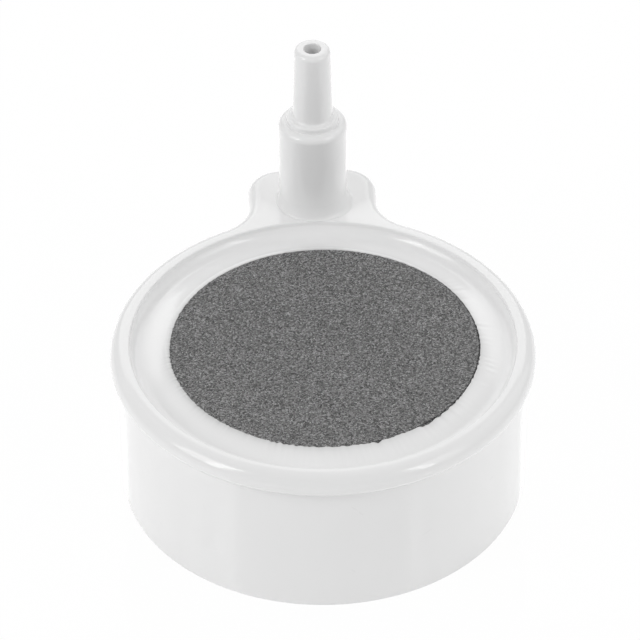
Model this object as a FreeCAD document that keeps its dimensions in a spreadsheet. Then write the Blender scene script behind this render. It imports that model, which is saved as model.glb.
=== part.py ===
import FreeCAD, Part
import math
import os

import Sketcher
from FreeCAD import Vector

# Round air stone with an upright hose nozzle, all lengths in millimetres.
#
# A round moulded shell holds a sintered stone in a cup under its rim. A tongue at the back (+Y) carries the
# nozzle. Air comes down the nozzle into the tongue, through a window into the hollow under the stone, and out
# through the stone's pores. A plate glued into the underside closes the hollow.
#
# Frame: the origin is the centre of the round skirt on the surface that it stands on, +Z is up along the
# nozzle, and +Y runs from the stone to the tongue.

SIZES = [
    # alias, value, what it is
    ("skirt_radius", 24.0, "outer radius of the round skirt"),
    ("housing_height", 20.0, "underside to the top of the rim"),
    ("bead_proud", 1.0, "how far the rim bead stands out of the skirt"),
    ("bead_depth", 3.2, "height of the rim bead"),
    ("bead_radius", 1.5, "rounding of the rim bead, top and bottom"),
    ("bead_root", 1.2, "how far the bead's section reaches into the wall"),
    ("rim_land", 1.3, "skirt's outer face to the rim's inner edge"),
    ("rim_break", 0.15, "chamfer on the rim's inner edge"),
    ("shell_wall", 1.5, "moulded wall of the skirt and the tongue"),
    ("tongue_side_land", 2.35, "nozzle's foot to the tongue's side"),
    ("tongue_back_land", 1.25, "nozzle's foot to the tongue's back"),
    ("tongue_corner", 2.9, "rounding of the tongue's two back corners"),
    ("tongue_blend", 7.0, "concave blend between tongue and skirt"),
    ("tongue_roof", 1.8, "thickness of the tongue's roof"),
    ("hollow_corner", 1.2, "rounding of the tongue's hollow"),
    ("window_half_width", 4.0, "half the width of the window from tongue to plenum"),
    ("gutter_width", 3.8, "stone to the rim's inner edge"),
    ("gutter_depth", 2.2, "rim's top to the moulded floor of the gutter"),
    ("web_thickness", 1.5, "floor of the gutter"),
    ("stone_sink", 0.65, "rim's top to the stone's top"),
    ("stone_thickness", 12.0, "thickness of the stone"),
    ("stone_break", 0.65, "chamfer on the stone's edges"),
    ("stone_gap", 0.3, "clearance of the stone in its cup"),
    ("cup_wall", 1.4, "wall of the cup round the stone"),
    ("ledge_reach", 1.5, "how far the ledge reaches under the stone"),
    ("ledge_thickness", 1.8, "thickness of the ledge"),
    ("seal_outer_drop", 0.5, "rim's top to the sealant at the rim"),
    ("seal_floor_drop", 1.4, "rim's top to the sealant's lowest line"),
    ("seal_steep", 0.8, "width of the sealant's steep outer side"),
    ("seal_floor_width", 1.5, "width of the sealant's flat middle"),
    ("seal_round", 0.8, "rounding of the sealant's surface"),
    ("cover_thickness", 2.0, "base cover's plate"),
    ("cover_lip", 1.0, "skirt's lip round the base cover"),
    ("cover_gap", 0.1, "clearance of the base cover in its recess"),
    ("cover_ring_height", 1.5, "locating ring on the base cover"),
    ("cover_ring_width", 1.2, "wall of the locating ring"),
    ("cover_ring_gap", 0.15, "clearance of the locating ring in the shell"),
    ("bond_width", 0.7, "width of the bead round the base cover"),
    ("bond_depth", 0.5, "depth of the groove that the bead fills"),
    ("bond_sink", 0.15, "underside to the bead's face"),
    ("nozzle_height", 22.5, "tongue's top to the nozzle's tip"),
    ("stem_radius", 4.15, "lower stage, for a hose of 8 mm bore"),
    ("stem_height", 12.0, "tongue's top to the shoulder"),
    ("stem_round", 0.85, "rounding of the shoulder"),
    ("collar_radius", 3.15, "stop collar between the stages"),
    ("collar_height", 0.8, "height of the stop collar"),
    ("collar_round", 0.3, "rounding of the stop collar"),
    ("tip_root_radius", 2.45, "upper stage at the collar, for a hose of 4 mm bore"),
    ("tip_radius", 2.18, "upper stage at the tip"),
    ("tip_round", 0.6, "rounding of the tip"),
    ("bore_radius", 1.04, "air bore through the tip"),
    ("core_radius", 2.2, "wider air bore through the lower stage"),
    ("core_height", 8.5, "tongue's top to the end of the wider bore"),
    ("core_taper", 1.2, "height of the cone between the two bores"),
    ("spigot_radius", 3.0, "spigot that is glued into the tongue's roof"),
    ("spigot_gap", 0.05, "clearance of the spigot in its hole"),
    ("foot_flare", 0.15, "how much the lower stage widens at its foot, under its adhesive"),
    ("foot_bead_width", 0.45, "stem's wall to the outside of the adhesive round its foot"),
    ("foot_bead_height", 2.8, "how far that adhesive climbs the stem"),
    ("foot_bead_waist", 0.18, "that adhesive's thickness at its waist"),
    ("foot_bead_waist_height", 0.8, "tongue's top to that waist"),
    ("foot_bead_round", 2.0, "concave rounding of that adhesive"),
]


class Length:
    """A length worked out from the sheet: the expression that binds it, and the number it comes to now."""

    def __init__(self, text, number):
        self.text = text
        self.number = number

    def __add__(self, other):
        return Length(f"({self.text} + {other.text})", self.number + other.number)

    def __sub__(self, other):
        return Length(f"({self.text} - {other.text})", self.number - other.number)

    def __neg__(self):
        return Length(f"(-{self.text})", -self.number)


class SizeSheet:
    """The document's spreadsheet of driving sizes. Each size is an attribute that gives a Length."""

    def __init__(self, doc):
        self.sheet = doc.addObject("Spreadsheet::Sheet", "Sizes")
        for row, (alias, value, meaning) in enumerate(SIZES, start=1):
            self.sheet.set(f"A{row}", alias)
            self.sheet.set(f"B{row}", str(value))
            self.sheet.setAlias(f"B{row}", alias)
            self.sheet.set(f"C{row}", meaning)
            setattr(self, alias, Length(f"Sizes.{alias}", value))


NOTHING = Length("0", 0.0)
ORIGIN = (-1, 1)  # the sketch origin's geometry and point
START, END, CENTRE = 1, 2, 3


def new_body(doc, label):
    """An empty PartDesign body that stands for one sub-part."""
    body = doc.addObject("PartDesign::Body", label)
    body.Label = label
    return body


def new_sketch(body, name, role, height=NOTHING):
    """An empty sketch on one of the body's own origin planes, moved along the plane's normal by height."""
    sketch = body.newObject("Sketcher::SketchObject", f"{body.Label}_{name}")
    plane = [face for face in body.Origin.OriginFeatures if face.Role == role]
    sketch.AttachmentSupport = (plane[0], [""])
    sketch.MapMode = "FlatFace"
    sketch.setExpression("AttachmentOffset.Base.z", height.text)
    return sketch


def bind(sketch, kind, where, length):
    """Add a constraint of size and bind it to its expression."""
    index = sketch.addConstraint(Sketcher.Constraint(kind, *where, length.number))
    sketch.setExpression(f"Constraints[{index}]", length.text)


def tie(sketch, kind, *where):
    """Add a constraint that has no size."""
    sketch.addConstraint(Sketcher.Constraint(kind, *where))


def place_point(sketch, geometry, point, x, y):
    """Hold a point at x, y. A coordinate of nothing puts it on the axis."""
    if x is NOTHING:
        tie(sketch, "PointOnObject", geometry, point, -2)
    else:
        bind(sketch, "DistanceX", (*ORIGIN, geometry, point), x)
    if y is NOTHING:
        tie(sketch, "PointOnObject", geometry, point, -1)
    else:
        bind(sketch, "DistanceY", (*ORIGIN, geometry, point), y)


def add_profile(sketch, corners):
    """Draw a closed outline of straight sides through corners (x, y) or, rounded, (x, y, radius)."""
    spots = [Vector(corner[0].number, corner[1].number, 0) for corner in corners]
    radii = [corner[2].number if len(corner) > 2 else 0.0 for corner in corners]
    count = len(corners)
    cuts = []
    for i in range(count):
        back = (spots[i - 1] - spots[i]).normalize()
        ahead = (spots[(i + 1) % count] - spots[i]).normalize()
        reach = radii[i] / math.tan(back.getAngle(ahead) / 2)
        cuts.append((spots[i] + back * reach, spots[i] + ahead * reach))
    sides = []
    for i in range(count):
        side = Part.LineSegment(cuts[i][1], cuts[(i + 1) % count][0])
        sides.append(sketch.addGeometry(side, False))
    for i, corner in enumerate(corners):
        before, after = sides[i - 1], sides[i]
        if radii[i] == 0.0:
            tie(sketch, "Coincident", before, END, after, START)
            place_point(sketch, after, START, corner[0], corner[1])
            continue
        mark = sketch.addGeometry(Part.Point(spots[i]), True)
        place_point(sketch, mark, START, corner[0], corner[1])
        tie(sketch, "PointOnObject", mark, START, before)
        tie(sketch, "PointOnObject", mark, START, after)
        add_rounding(sketch, cuts[i], spots[i], radii[i], before, after, corner[2])


def add_rounding(sketch, cut, spot, radius, before, after, length):
    """Join two sides with an arc that is tangent to both."""
    first, last = cut
    inward = (first + last) * 0.5 - spot
    depth = (first - spot).Length
    centre = spot + inward.normalize() * math.hypot(radius, depth)
    turn = (first - centre).cross(last - centre).z
    low, high = (first, last) if turn > 0 else (last, first)
    angles = [math.atan2(point.y - centre.y, point.x - centre.x) for point in (low, high)]
    circle = Part.Circle(centre, Vector(0, 0, 1), radius)
    arc = sketch.addGeometry(Part.ArcOfCircle(circle, *angles), False)
    first_end, last_end = (START, END) if turn > 0 else (END, START)
    tie(sketch, "Tangent", before, END, arc, first_end)
    tie(sketch, "Tangent", after, START, arc, last_end)
    bind(sketch, "Radius", (arc,), length)


def add_arc(sketch, centre, radius, low, high):
    """Draw an arc from one angle to another, anticlockwise, in degrees."""
    circle = Part.Circle(centre, Vector(0, 0, 1), radius)
    return sketch.addGeometry(Part.ArcOfCircle(circle, math.radians(low), math.radians(high)), False)


def add_outline(sketch, sizes, levels, inset):
    """Draw the shell's outline, the round skirt with its tongue, moved inwards by inset.

    It starts at the front of the skirt and runs anticlockwise. Every joint but the front one is tangent.
    """
    round_radius = sizes.skirt_radius - inset
    half_width = levels.tongue_half_width - inset
    back = levels.tongue_back - inset
    corner = sizes.tongue_corner - inset
    blend = sizes.tongue_blend + inset

    blend_x = half_width.number + blend.number
    blend_y = math.sqrt((round_radius.number + blend.number) ** 2 - blend_x**2)
    bearing = math.degrees(math.atan2(blend_y, blend_x))
    corner_x = half_width.number - corner.number
    corner_y = back.number - corner.number
    middle = Vector(0, 0, 0)

    right_round = add_arc(sketch, middle, round_radius.number, -90, bearing)
    right_blend = add_arc(sketch, Vector(blend_x, blend_y, 0), blend.number, 180, 180 + bearing)
    right_side = sketch.addGeometry(
        Part.LineSegment(Vector(half_width.number, blend_y, 0), Vector(half_width.number, corner_y, 0)),
        False,
    )
    right_corner = add_arc(sketch, Vector(corner_x, corner_y, 0), corner.number, 0, 90)
    back_side = sketch.addGeometry(
        Part.LineSegment(Vector(corner_x, back.number, 0), Vector(-corner_x, back.number, 0)), False
    )
    left_corner = add_arc(sketch, Vector(-corner_x, corner_y, 0), corner.number, 90, 180)
    left_side = sketch.addGeometry(
        Part.LineSegment(Vector(-half_width.number, corner_y, 0), Vector(-half_width.number, blend_y, 0)),
        False,
    )
    left_blend = add_arc(sketch, Vector(-blend_x, blend_y, 0), blend.number, -bearing, 0)
    left_round = add_arc(sketch, middle, round_radius.number, 180 - bearing, 270)

    tie(sketch, "Coincident", right_round, CENTRE, *ORIGIN)
    tie(sketch, "Coincident", left_round, CENTRE, *ORIGIN)
    tie(sketch, "PointOnObject", right_round, START, -2)
    tie(sketch, "Coincident", right_round, START, left_round, END)
    tie(sketch, "Tangent", right_round, END, right_blend, END)
    tie(sketch, "Tangent", right_blend, START, right_side, START)
    tie(sketch, "Tangent", right_side, END, right_corner, START)
    tie(sketch, "Tangent", right_corner, END, back_side, START)
    tie(sketch, "Tangent", back_side, END, left_corner, START)
    tie(sketch, "Tangent", left_corner, END, left_side, START)
    tie(sketch, "Tangent", left_side, END, left_blend, END)
    tie(sketch, "Tangent", left_blend, START, left_round, START)
    tie(sketch, "Vertical", right_side)
    tie(sketch, "Vertical", left_side)
    tie(sketch, "Horizontal", back_side)
    bind(sketch, "Radius", (right_round,), round_radius)
    for arc in (right_blend, left_blend):
        bind(sketch, "Radius", (arc,), blend)
    for arc in (right_corner, left_corner):
        bind(sketch, "Radius", (arc,), corner)
    bind(sketch, "DistanceX", (*ORIGIN, right_side, START), half_width)
    bind(sketch, "DistanceX", (left_side, END, *ORIGIN), half_width)
    bind(sketch, "DistanceY", (*ORIGIN, back_side, START), back)


def extrude(body, kind, sketch, length, downwards=False):
    """Pad or pocket a sketch by a length, upwards unless it is told otherwise."""
    feature = body.newObject(f"PartDesign::{kind}", f"{sketch.Name}_{kind.lower()}")
    feature.Profile = sketch
    feature.setExpression("Length", length.text)
    along_normal = kind == "Pad"
    feature.Reversed = along_normal == downwards
    sketch.Document.recompute()
    return feature


def turn_profile(body, kind, name, corners):
    """Revolve a profile of (radius, height) corners round the body's Z axis, to add it or to cut it."""
    sketch = new_sketch(body, name, "XZ_Plane")
    add_profile(sketch, corners)
    feature = body.newObject(f"PartDesign::{kind}", f"{sketch.Name}_{kind.lower()}")
    feature.Profile = sketch
    feature.ReferenceAxis = (sketch, ["V_Axis"])
    feature.Angle = 360
    body.Document.recompute()
    return feature


class Levels:
    """Heights and radii that more than one sub-part shares, each worked out from the sheet."""

    def __init__(self, sizes):
        self.top = sizes.housing_height
        self.pocket_radius = sizes.skirt_radius - sizes.rim_land
        self.gutter_floor = self.top - sizes.gutter_depth
        self.stone_radius = self.pocket_radius - sizes.gutter_width
        self.stone_top = self.top - sizes.stone_sink
        self.ledge_top = self.stone_top - sizes.stone_thickness
        self.ledge_bottom = self.ledge_top - sizes.ledge_thickness
        self.cup_radius = self.stone_radius + sizes.stone_gap
        self.shell_inside = sizes.skirt_radius - sizes.shell_wall
        self.cover_top = sizes.cover_thickness
        nozzle_foot = sizes.stem_radius + sizes.foot_bead_width
        self.nozzle_y = self.pocket_radius + nozzle_foot
        self.tongue_half_width = nozzle_foot + sizes.tongue_side_land
        self.tongue_back = self.nozzle_y + nozzle_foot + sizes.tongue_back_land
        self.roof_bottom = self.top - sizes.tongue_roof


def make_housing(doc, sizes, levels):
    """The moulded shell: skirt, tongue, rim bead, gutter, cup with its ledge, and the hollow under them."""
    body = new_body(doc, "housing")

    outline = new_sketch(body, "outline", "XY_Plane")
    add_outline(outline, sizes, levels, NOTHING)
    extrude(body, "Pad", outline, levels.top)

    # the rim bead, a half-round section carried right round the outline
    section = new_sketch(body, "bead_section", "YZ_Plane")
    bead_face = -(sizes.skirt_radius + sizes.bead_proud)
    bead_root = -(sizes.skirt_radius - sizes.bead_root)
    bead_bottom = levels.top - sizes.bead_depth
    add_profile(
        section,
        [
            (bead_root, levels.top),
            (bead_face, levels.top, sizes.bead_radius),
            (bead_face, bead_bottom, sizes.bead_radius),
            (bead_root, bead_bottom),
        ],
    )
    path = new_sketch(body, "bead_path", "XY_Plane", levels.top)
    add_outline(path, sizes, levels, NOTHING)
    doc.recompute()
    bead = body.newObject("PartDesign::AdditivePipe", "housing_bead")
    bead.Profile = section
    bead.Spine = (path, [f"Edge{i + 1}" for i in range(len(path.Shape.Edges))])
    doc.recompute()

    # everything round inside the shell, in one cut: mouth, gutter, cup, ledge, plenum and outer hollow
    cup_outside = levels.cup_radius + sizes.cup_wall
    ledge_radius = levels.stone_radius - sizes.ledge_reach
    web_bottom = levels.gutter_floor - sizes.web_thickness
    turn_profile(
        body,
        "Groove",
        "inside",
        [
            (NOTHING, levels.top),
            (levels.pocket_radius + sizes.rim_break, levels.top),
            (levels.pocket_radius, levels.top - sizes.rim_break),
            (levels.pocket_radius, levels.gutter_floor),
            (levels.cup_radius, levels.gutter_floor),
            (levels.cup_radius, levels.ledge_top),
            (ledge_radius, levels.ledge_top),
            (ledge_radius, levels.ledge_bottom),
            (cup_outside, levels.ledge_bottom),
            (cup_outside, web_bottom),
            (levels.shell_inside, web_bottom),
            (levels.shell_inside, levels.cover_top),
            (NOTHING, levels.cover_top),
        ],
    )

    # the recess that takes the base cover
    recess = new_sketch(body, "recess", "XY_Plane")
    add_outline(recess, sizes, levels, sizes.cover_lip)
    extrude(body, "Pocket", recess, levels.cover_top)

    # the hollow in the tongue, behind the round wall
    hollow = new_sketch(body, "tongue_hollow", "XY_Plane", levels.cover_top)
    side = levels.tongue_half_width - sizes.shell_wall
    hollow_back = levels.tongue_back - sizes.shell_wall
    add_profile(
        hollow,
        [
            (-side, sizes.skirt_radius, sizes.hollow_corner),
            (side, sizes.skirt_radius, sizes.hollow_corner),
            (side, hollow_back, sizes.hollow_corner),
            (-side, hollow_back, sizes.hollow_corner),
        ],
    )
    extrude(body, "Pocket", hollow, levels.roof_bottom - levels.cover_top)

    # the window between the tongue's hollow and the plenum
    window = new_sketch(body, "window", "XY_Plane", levels.cover_top)
    opening = sizes.window_half_width
    add_profile(
        window,
        [
            (-opening, levels.stone_radius),
            (opening, levels.stone_radius),
            (opening, levels.nozzle_y),
            (-opening, levels.nozzle_y),
        ],
    )
    extrude(body, "Pocket", window, levels.ledge_bottom - levels.cover_top)

    # the hole for the nozzle's spigot
    hole = new_sketch(body, "nozzle_hole", "XY_Plane", levels.roof_bottom)
    ring = hole.addGeometry(
        Part.Circle(Vector(0, levels.nozzle_y.number, 0), Vector(0, 0, 1), sizes.spigot_radius.number),
        False,
    )
    place_point(hole, ring, CENTRE, NOTHING, levels.nozzle_y)
    bind(hole, "Radius", (ring,), sizes.spigot_radius + sizes.spigot_gap)
    extrude(body, "Pocket", hole, sizes.tongue_roof)
    return body


def make_air_stone(doc, sizes, levels):
    """The sintered disc, chamfered top and bottom."""
    body = new_body(doc, "air_stone")
    flat = levels.stone_radius - sizes.stone_break
    turn_profile(
        body,
        "Revolution",
        "disc",
        [
            (NOTHING, levels.ledge_top),
            (flat, levels.ledge_top),
            (levels.stone_radius, levels.ledge_top + sizes.stone_break),
            (levels.stone_radius, levels.stone_top - sizes.stone_break),
            (flat, levels.stone_top),
            (NOTHING, levels.stone_top),
        ],
    )
    return body


def make_stone_seal(doc, sizes, levels):
    """Sealant in the gutter: a dished ring from the rim to the chamfer on the stone's edge."""
    body = new_body(doc, "stone_seal")
    low = levels.top - sizes.seal_floor_drop
    floor_outer = levels.pocket_radius - sizes.seal_steep
    turn_profile(
        body,
        "Revolution",
        "ring",
        [
            (levels.stone_radius, levels.gutter_floor),
            (levels.pocket_radius, levels.gutter_floor),
            (levels.pocket_radius, levels.top - sizes.seal_outer_drop),
            (floor_outer, low, sizes.seal_round),
            (floor_outer - sizes.seal_floor_width, low, sizes.seal_round),
            (levels.stone_radius - sizes.stone_break, levels.stone_top),
            (levels.stone_radius, levels.stone_top - sizes.stone_break),
        ],
    )
    return body


def stand_on_tongue(body, levels):
    """Place a body on the nozzle's axis, on the tongue's top."""
    body.setExpression("Placement.Base.y", levels.nozzle_y.text)
    body.setExpression("Placement.Base.z", levels.top.text)


def make_nozzle(doc, sizes, levels):
    """The hose nozzle: spigot, flared foot, lower stage, stop collar, tapered upper stage and stepped bore."""
    body = new_body(doc, "nozzle")
    collar_top = sizes.stem_height + sizes.collar_height
    turn_profile(
        body,
        "Revolution",
        "turned",
        [
            (sizes.core_radius, -sizes.tongue_roof),
            (sizes.spigot_radius, -sizes.tongue_roof),
            (sizes.spigot_radius, NOTHING),
            (sizes.stem_radius + sizes.foot_flare, NOTHING),
            (sizes.stem_radius, sizes.foot_bead_height),
            (sizes.stem_radius, sizes.stem_height, sizes.stem_round),
            (sizes.collar_radius, sizes.stem_height),
            (sizes.collar_radius, collar_top, sizes.collar_round),
            (sizes.tip_root_radius, collar_top, sizes.collar_round),
            (sizes.tip_radius, sizes.nozzle_height, sizes.tip_round),
            (sizes.bore_radius, sizes.nozzle_height),
            (sizes.bore_radius, sizes.core_height + sizes.core_taper),
            (sizes.core_radius, sizes.core_height),
        ],
    )
    stand_on_tongue(body, levels)
    return body


def make_nozzle_bond(doc, sizes, levels):
    """Adhesive round the nozzle's foot, drawn up the stem in a hollow curve."""
    body = new_body(doc, "nozzle_bond")
    turn_profile(
        body,
        "Revolution",
        "fillet",
        [
            (sizes.stem_radius + sizes.foot_flare, NOTHING),
            (sizes.stem_radius + sizes.foot_bead_width, NOTHING),
            (
                sizes.stem_radius + sizes.foot_bead_waist,
                sizes.foot_bead_waist_height,
                sizes.foot_bead_round,
            ),
            (sizes.stem_radius, sizes.foot_bead_height),
        ],
    )
    stand_on_tongue(body, levels)
    return body


def make_base_cover(doc, sizes, levels):
    """The plate that closes the underside: a stepped edge for the adhesive and a ring that locates it."""
    body = new_body(doc, "base_cover")
    foot = new_sketch(body, "foot", "XY_Plane")
    add_outline(foot, sizes, levels, sizes.cover_lip + sizes.bond_width)
    extrude(body, "Pad", foot, sizes.bond_depth)

    plate = new_sketch(body, "plate", "XY_Plane", sizes.bond_depth)
    add_outline(plate, sizes, levels, sizes.cover_lip + sizes.cover_gap)
    extrude(body, "Pad", plate, levels.cover_top - sizes.bond_depth)

    ring_outside = levels.shell_inside - sizes.cover_ring_gap
    ring_inside = ring_outside - sizes.cover_ring_width
    ring_top = levels.cover_top + sizes.cover_ring_height
    turn_profile(
        body,
        "Revolution",
        "locating_ring",
        [
            (ring_inside, sizes.bond_depth),
            (ring_outside, sizes.bond_depth),
            (ring_outside, ring_top),
            (ring_inside, ring_top),
        ],
    )
    return body


def make_cover_bond(doc, sizes, levels):
    """Adhesive in the groove between the base cover and the skirt's lip."""
    body = new_body(doc, "cover_bond")
    bead = new_sketch(body, "bead", "XY_Plane", sizes.bond_sink)
    add_outline(bead, sizes, levels, sizes.cover_lip)
    add_outline(bead, sizes, levels, sizes.cover_lip + sizes.bond_width)
    extrude(body, "Pad", bead, sizes.bond_depth - sizes.bond_sink)
    return body


def check_document(doc, bodies):
    """Stop if any object failed to compute or any sub-part isn't one valid solid."""
    for item in doc.Objects:
        if {"Invalid", "Error"} & set(item.State):
            raise RuntimeError(f"{item.Name} is {item.State}")
    for body in bodies:
        shape = body.Shape
        if shape.isNull() or not shape.isValid():
            raise RuntimeError(f"{body.Label} has no valid shape")
        if len(shape.Solids) != 1:
            raise RuntimeError(f"{body.Label} has {len(shape.Solids)} solids")


def export_parts(bodies):
    """Write each sub-part's shape to its own STEP file."""
    os.makedirs("parts", exist_ok=True)
    for body in bodies:
        body.Shape.exportStep(f"parts/{body.Label}.step")
        box = body.Shape.BoundBox
        print(
            f"{body.Label}: {body.Shape.Volume:.1f} mm3, "
            f"X {box.XMin:.2f}..{box.XMax:.2f}, Y {box.YMin:.2f}..{box.YMax:.2f}, "
            f"Z {box.ZMin:.2f}..{box.ZMax:.2f}"
        )


def main():
    """Build the whole air stone and write its sub-parts."""
    doc = FreeCAD.newDocument("air_stone_disc")
    sizes = SizeSheet(doc)
    doc.recompute()
    levels = Levels(sizes)
    bodies = [
        make_housing(doc, sizes, levels),
        make_air_stone(doc, sizes, levels),
        make_stone_seal(doc, sizes, levels),
        make_nozzle(doc, sizes, levels),
        make_nozzle_bond(doc, sizes, levels),
        make_base_cover(doc, sizes, levels),
        make_cover_bond(doc, sizes, levels),
    ]
    doc.recompute()
    check_document(doc, bodies)
    export_parts(bodies)


main()
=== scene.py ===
import logging
import math
from dataclasses import dataclass, field
from enum import Enum
from typing import Sequence

import bpy
import numpy as np
from mathutils import Matrix, Vector


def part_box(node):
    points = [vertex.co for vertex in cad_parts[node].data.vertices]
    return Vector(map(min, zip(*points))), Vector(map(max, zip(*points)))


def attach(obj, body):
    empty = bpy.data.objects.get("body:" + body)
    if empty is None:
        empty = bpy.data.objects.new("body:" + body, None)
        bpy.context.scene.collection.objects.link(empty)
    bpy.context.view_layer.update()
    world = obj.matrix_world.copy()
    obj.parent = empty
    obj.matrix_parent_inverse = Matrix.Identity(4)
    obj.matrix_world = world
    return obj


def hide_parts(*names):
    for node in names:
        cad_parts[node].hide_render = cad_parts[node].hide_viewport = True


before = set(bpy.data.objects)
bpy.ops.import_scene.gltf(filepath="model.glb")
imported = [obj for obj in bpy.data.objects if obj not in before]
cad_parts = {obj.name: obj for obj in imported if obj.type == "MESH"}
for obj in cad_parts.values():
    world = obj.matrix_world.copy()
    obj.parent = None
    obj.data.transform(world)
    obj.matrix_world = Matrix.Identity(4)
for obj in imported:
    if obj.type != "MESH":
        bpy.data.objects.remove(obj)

LOG = logging.getLogger("air_stone")

MM = 0.001
TURN = 2.0 * math.pi

Array = np.ndarray
Socket = bpy.types.NodeSocket
Node = bpy.types.Node
Material = bpy.types.Material


# --- Curves and meshes ---


def add_object(name: str, data: object) -> bpy.types.Object:
    """Make an object of some data and put it in the scene.

    Args:
        name: the object's name.
        data: its mesh, lamp or camera.

    Returns:
        The object.
    """
    made = bpy.data.objects.new(name, data)
    bpy.context.scene.collection.objects.link(made)
    return made


def arc(centre: tuple[float, float], radius: float, start: float, end: float, steps: int) -> Array:
    """Points along an arc: centre plus radius times (cos a, sin a), with the angle a in even steps.

    Args:
        centre: the arc's centre.
        radius: the arc's radius.
        start: the first angle, in degrees.
        end: the last angle, in degrees; below start, the arc runs clockwise.
        steps: how many points.

    Returns:
        The points, one row each.
    """
    angle = np.radians(np.linspace(start, end, steps))
    return np.column_stack([centre[0] + radius * np.cos(angle), centre[1] + radius * np.sin(angle)])


def line(first: tuple[float, float], last: tuple[float, float], steps: int = 2) -> Array:
    """Evenly spaced points from first to last, both included."""
    share = np.linspace(0.0, 1.0, steps)[:, None]
    return np.asarray(first) * (1.0 - share) + np.asarray(last) * share


def rounded(corners: Sequence[tuple[float, float, float]], steps: int = 7, hold: float = 0.12) -> Array:
    """A path of straight sides whose corners are rounded.

    A rounded corner is the arc that touches both sides: it starts radius / tan(half the corner's angle)
    before the corner. Each side also gets a point a little way from each arc, so that the surface's shading
    stays flat along the side.

    Args:
        corners: (x, y, radius) of each corner; the first and the last stay sharp.
        steps: points on each arc.
        hold: distance of the extra points from the arcs.

    Returns:
        The points, one row each.
    """
    spots = np.array([corner[:2] for corner in corners], float)
    radii = np.array([corner[2] for corner in corners], float)
    sides = np.diff(spots, axis=0)
    lengths = np.linalg.norm(sides, axis=1)
    sides = sides / lengths[:, None]
    facing = np.clip((-sides[:-1] * sides[1:]).sum(axis=1), -1.0, 1.0)
    halves = np.arccos(facing) / 2.0
    reaches = np.concatenate([[0.0], radii[1:-1] / np.tan(halves), [0.0]])
    guards = np.clip(0.4 * (lengths - reaches[:-1] - reaches[1:]), 1e-4, hold)
    pieces = [spots[:1]]
    for i in range(1, len(corners) - 1):
        back, ahead = -sides[i - 1], sides[i]
        middle = (back + ahead) / np.linalg.norm(back + ahead)
        centre = spots[i] + middle * radii[i] / math.sin(halves[i - 1])
        first, last = spots[i] + back * reaches[i] - centre, spots[i] + ahead * reaches[i] - centre
        start = math.degrees(math.atan2(first[1], first[0]))
        turn = math.degrees(math.atan2(first[0] * last[1] - first[1] * last[0], first @ last))
        bend = arc(tuple(centre), radii[i], start, start + turn, steps)
        pieces += [bend[:1] + back * guards[i - 1], bend, bend[-1:] + ahead * guards[i]]
    pieces.append(spots[-1:])
    return np.vstack(pieces)


def wave(angle: Array, seed: int, orders: tuple[int, int], falloff: float = 1.0) -> Array:
    """A smooth random curve round a ring, about -1 to 1.

    It is a sum of cosines of whole multiples k of the angle, each with a random phase and an amplitude of
    k to the power of minus falloff, divided by the root of the sum of their squares.

    Args:
        angle: angles round the ring.
        seed: seed of the phases.
        orders: the lowest and the highest k.
        falloff: how fast the amplitude drops with k.

    Returns:
        One value for each angle.
    """
    rng = np.random.default_rng(seed)
    order = np.arange(orders[0], orders[1] + 1)
    size = order.astype(float) ** -falloff
    phase = rng.uniform(0.0, TURN, len(order))
    total = (size * np.cos(np.multiply.outer(angle, order) + phase)).sum(axis=-1)
    return total / math.sqrt((size**2).sum())


def window(angle: Array, middle: float, width: float) -> Array:
    """A bell round one bearing: exp(-(distance / width) squared), with the distance taken round the ring.

    Args:
        angle: angles round the ring, in radians.
        middle: the bell's bearing, in degrees.
        width: the bell's half width, in degrees.

    Returns:
        0 to 1 for each angle.
    """
    away = np.degrees(np.angle(np.exp(1j * (angle - math.radians(middle)))))
    return np.exp(-((away / width) ** 2))


@dataclass(frozen=True)
class Wander:
    """A random wave round a ring: its size, its seed, its lowest and highest order, and their falloff."""

    size: float
    seed: int
    orders: tuple[int, int]
    falloff: float = 1.0

    def at(self, angle: Array) -> Array:
        """The wave times its size, at each angle."""
        return self.size * wave(angle, self.seed, self.orders, self.falloff)


@dataclass(frozen=True)
class Bell:
    """A stretch of a ring: the bearing of its middle and its half width, in degrees."""

    middle: float
    width: float

    def at(self, angle: Array) -> Array:
        """0 to 1 at each angle."""
        return window(angle, self.middle, self.width)


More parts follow.
